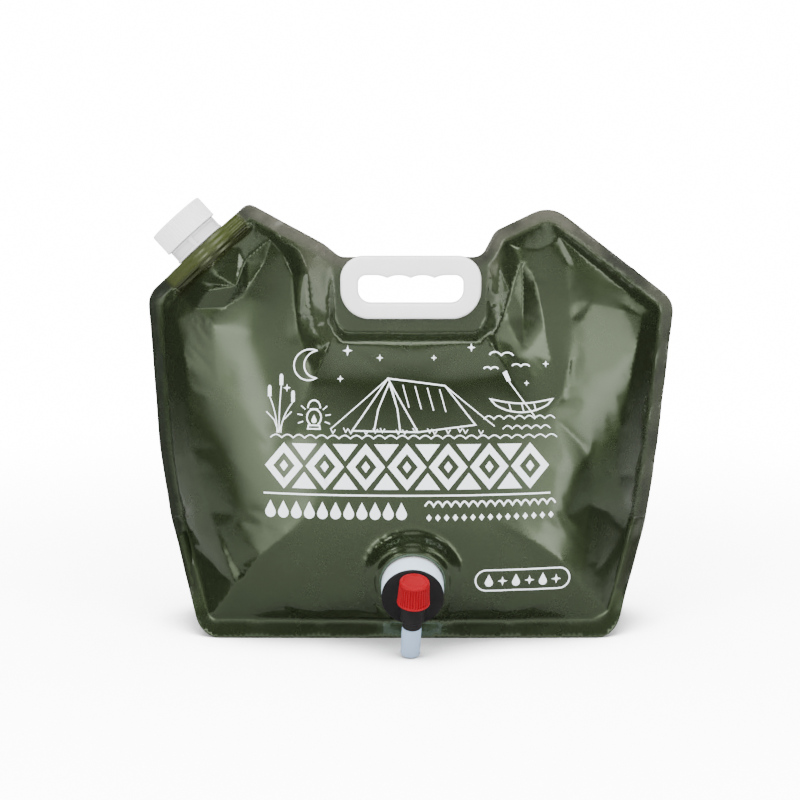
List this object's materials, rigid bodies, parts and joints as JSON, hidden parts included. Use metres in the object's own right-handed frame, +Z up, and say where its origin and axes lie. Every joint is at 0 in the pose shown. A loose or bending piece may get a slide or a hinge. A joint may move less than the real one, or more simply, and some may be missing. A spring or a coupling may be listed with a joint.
{
  "type": "water bag",
  "caption": "Folding water bag of welded film with a base gusset, screw-capped shoulder filler, clip-on carry handle and a screw-down drip tap low on the front.",
  "frame": {"origin": "middle of the base, on the surface that the filled bag stands on", "axes": "+Z up, +X to the right of a person facing the tap, -Y towards that person"},
  "size_m": [0.3952, 0.1953, 0.3241],
  "materials": {
    "film": "glossy dark green laminate film",
    "white_plastic": "white moulded plastic",
    "milky_plastic": "milky moulded plastic",
    "black_plastic": "black moulded plastic",
    "red_plastic": "red moulded plastic",
    "clear_tube": "clear soft tube",
    "rubber": "black rubber seal"
  },
  "bodies": {
    "bag": {"front_panel": "film", "rear_panel": "film", "base_gusset": "film", "fill_spout": "milky_plastic", "handle_front": "white_plastic", "handle_rear": "white_plastic", "outlet_spout": "milky_plastic"},
    "filler_seal": {"cap_liner": "rubber"},
    "filler_cap": {"fill_cap": "white_plastic"},
    "outlet_seal": {"spout_gasket": "rubber"},
    "outlet_tap": {"outlet_cap": "white_plastic", "back_washer": "rubber", "back_nut": "black_plastic", "tap_body": "black_plastic", "outlet_tube": "clear_tube"},
    "valve": {"valve_stem": "black_plastic", "stem_oring": "rubber", "valve_plug": "rubber"},
    "knob": {"tap_knob": "red_plastic"}
  },
  "joints": [
    {"name": "filler_cap_lift", "type": "slide", "parent": "bag", "child": "filler_seal", "axis": [-0.6698, 0, 0.7426], "range_m": [0, 0.0151]},
    {"name": "filler_cap_turn", "type": "hinge", "parent": "filler_seal", "child": "filler_cap", "pos_m": [-0.15801, 0, 0.28847], "axis": [-0.6698, 0, 0.7426], "range_deg": [0, 900]},
    {"name": "outlet_cap_travel", "type": "slide", "parent": "bag", "child": "outlet_seal", "axis": [0, -0.9511, -0.309], "range_m": [0, 0.0121]},
    {"name": "outlet_cap_turn", "type": "hinge", "parent": "outlet_seal", "child": "outlet_tap", "pos_m": [0, -0.073, 0.049], "axis": [0, -0.9511, -0.309], "range_deg": [0, 1080]},
    {"name": "valve_lift", "type": "slide", "parent": "outlet_tap", "child": "valve", "axis": [0.0489, -0.3086, 0.9499], "range_m": [0, 0.0031]},
    {"name": "knob_turn", "type": "hinge", "parent": "valve", "child": "knob", "pos_m": [0, -0.10752, 0.03778], "axis": [0.0489, -0.3086, 0.9499], "range_deg": [0, 360]}
  ],
  "couplings": [
    {"joint": "filler_cap_lift", "follows": "filler_cap_turn", "m_per_rad": 0.00095493},
    {"joint": "outlet_cap_travel", "follows": "outlet_cap_turn", "m_per_rad": 0.00063662},
    {"joint": "valve_lift", "follows": "knob_turn", "m_per_rad": 0.00047746}
  ]
}
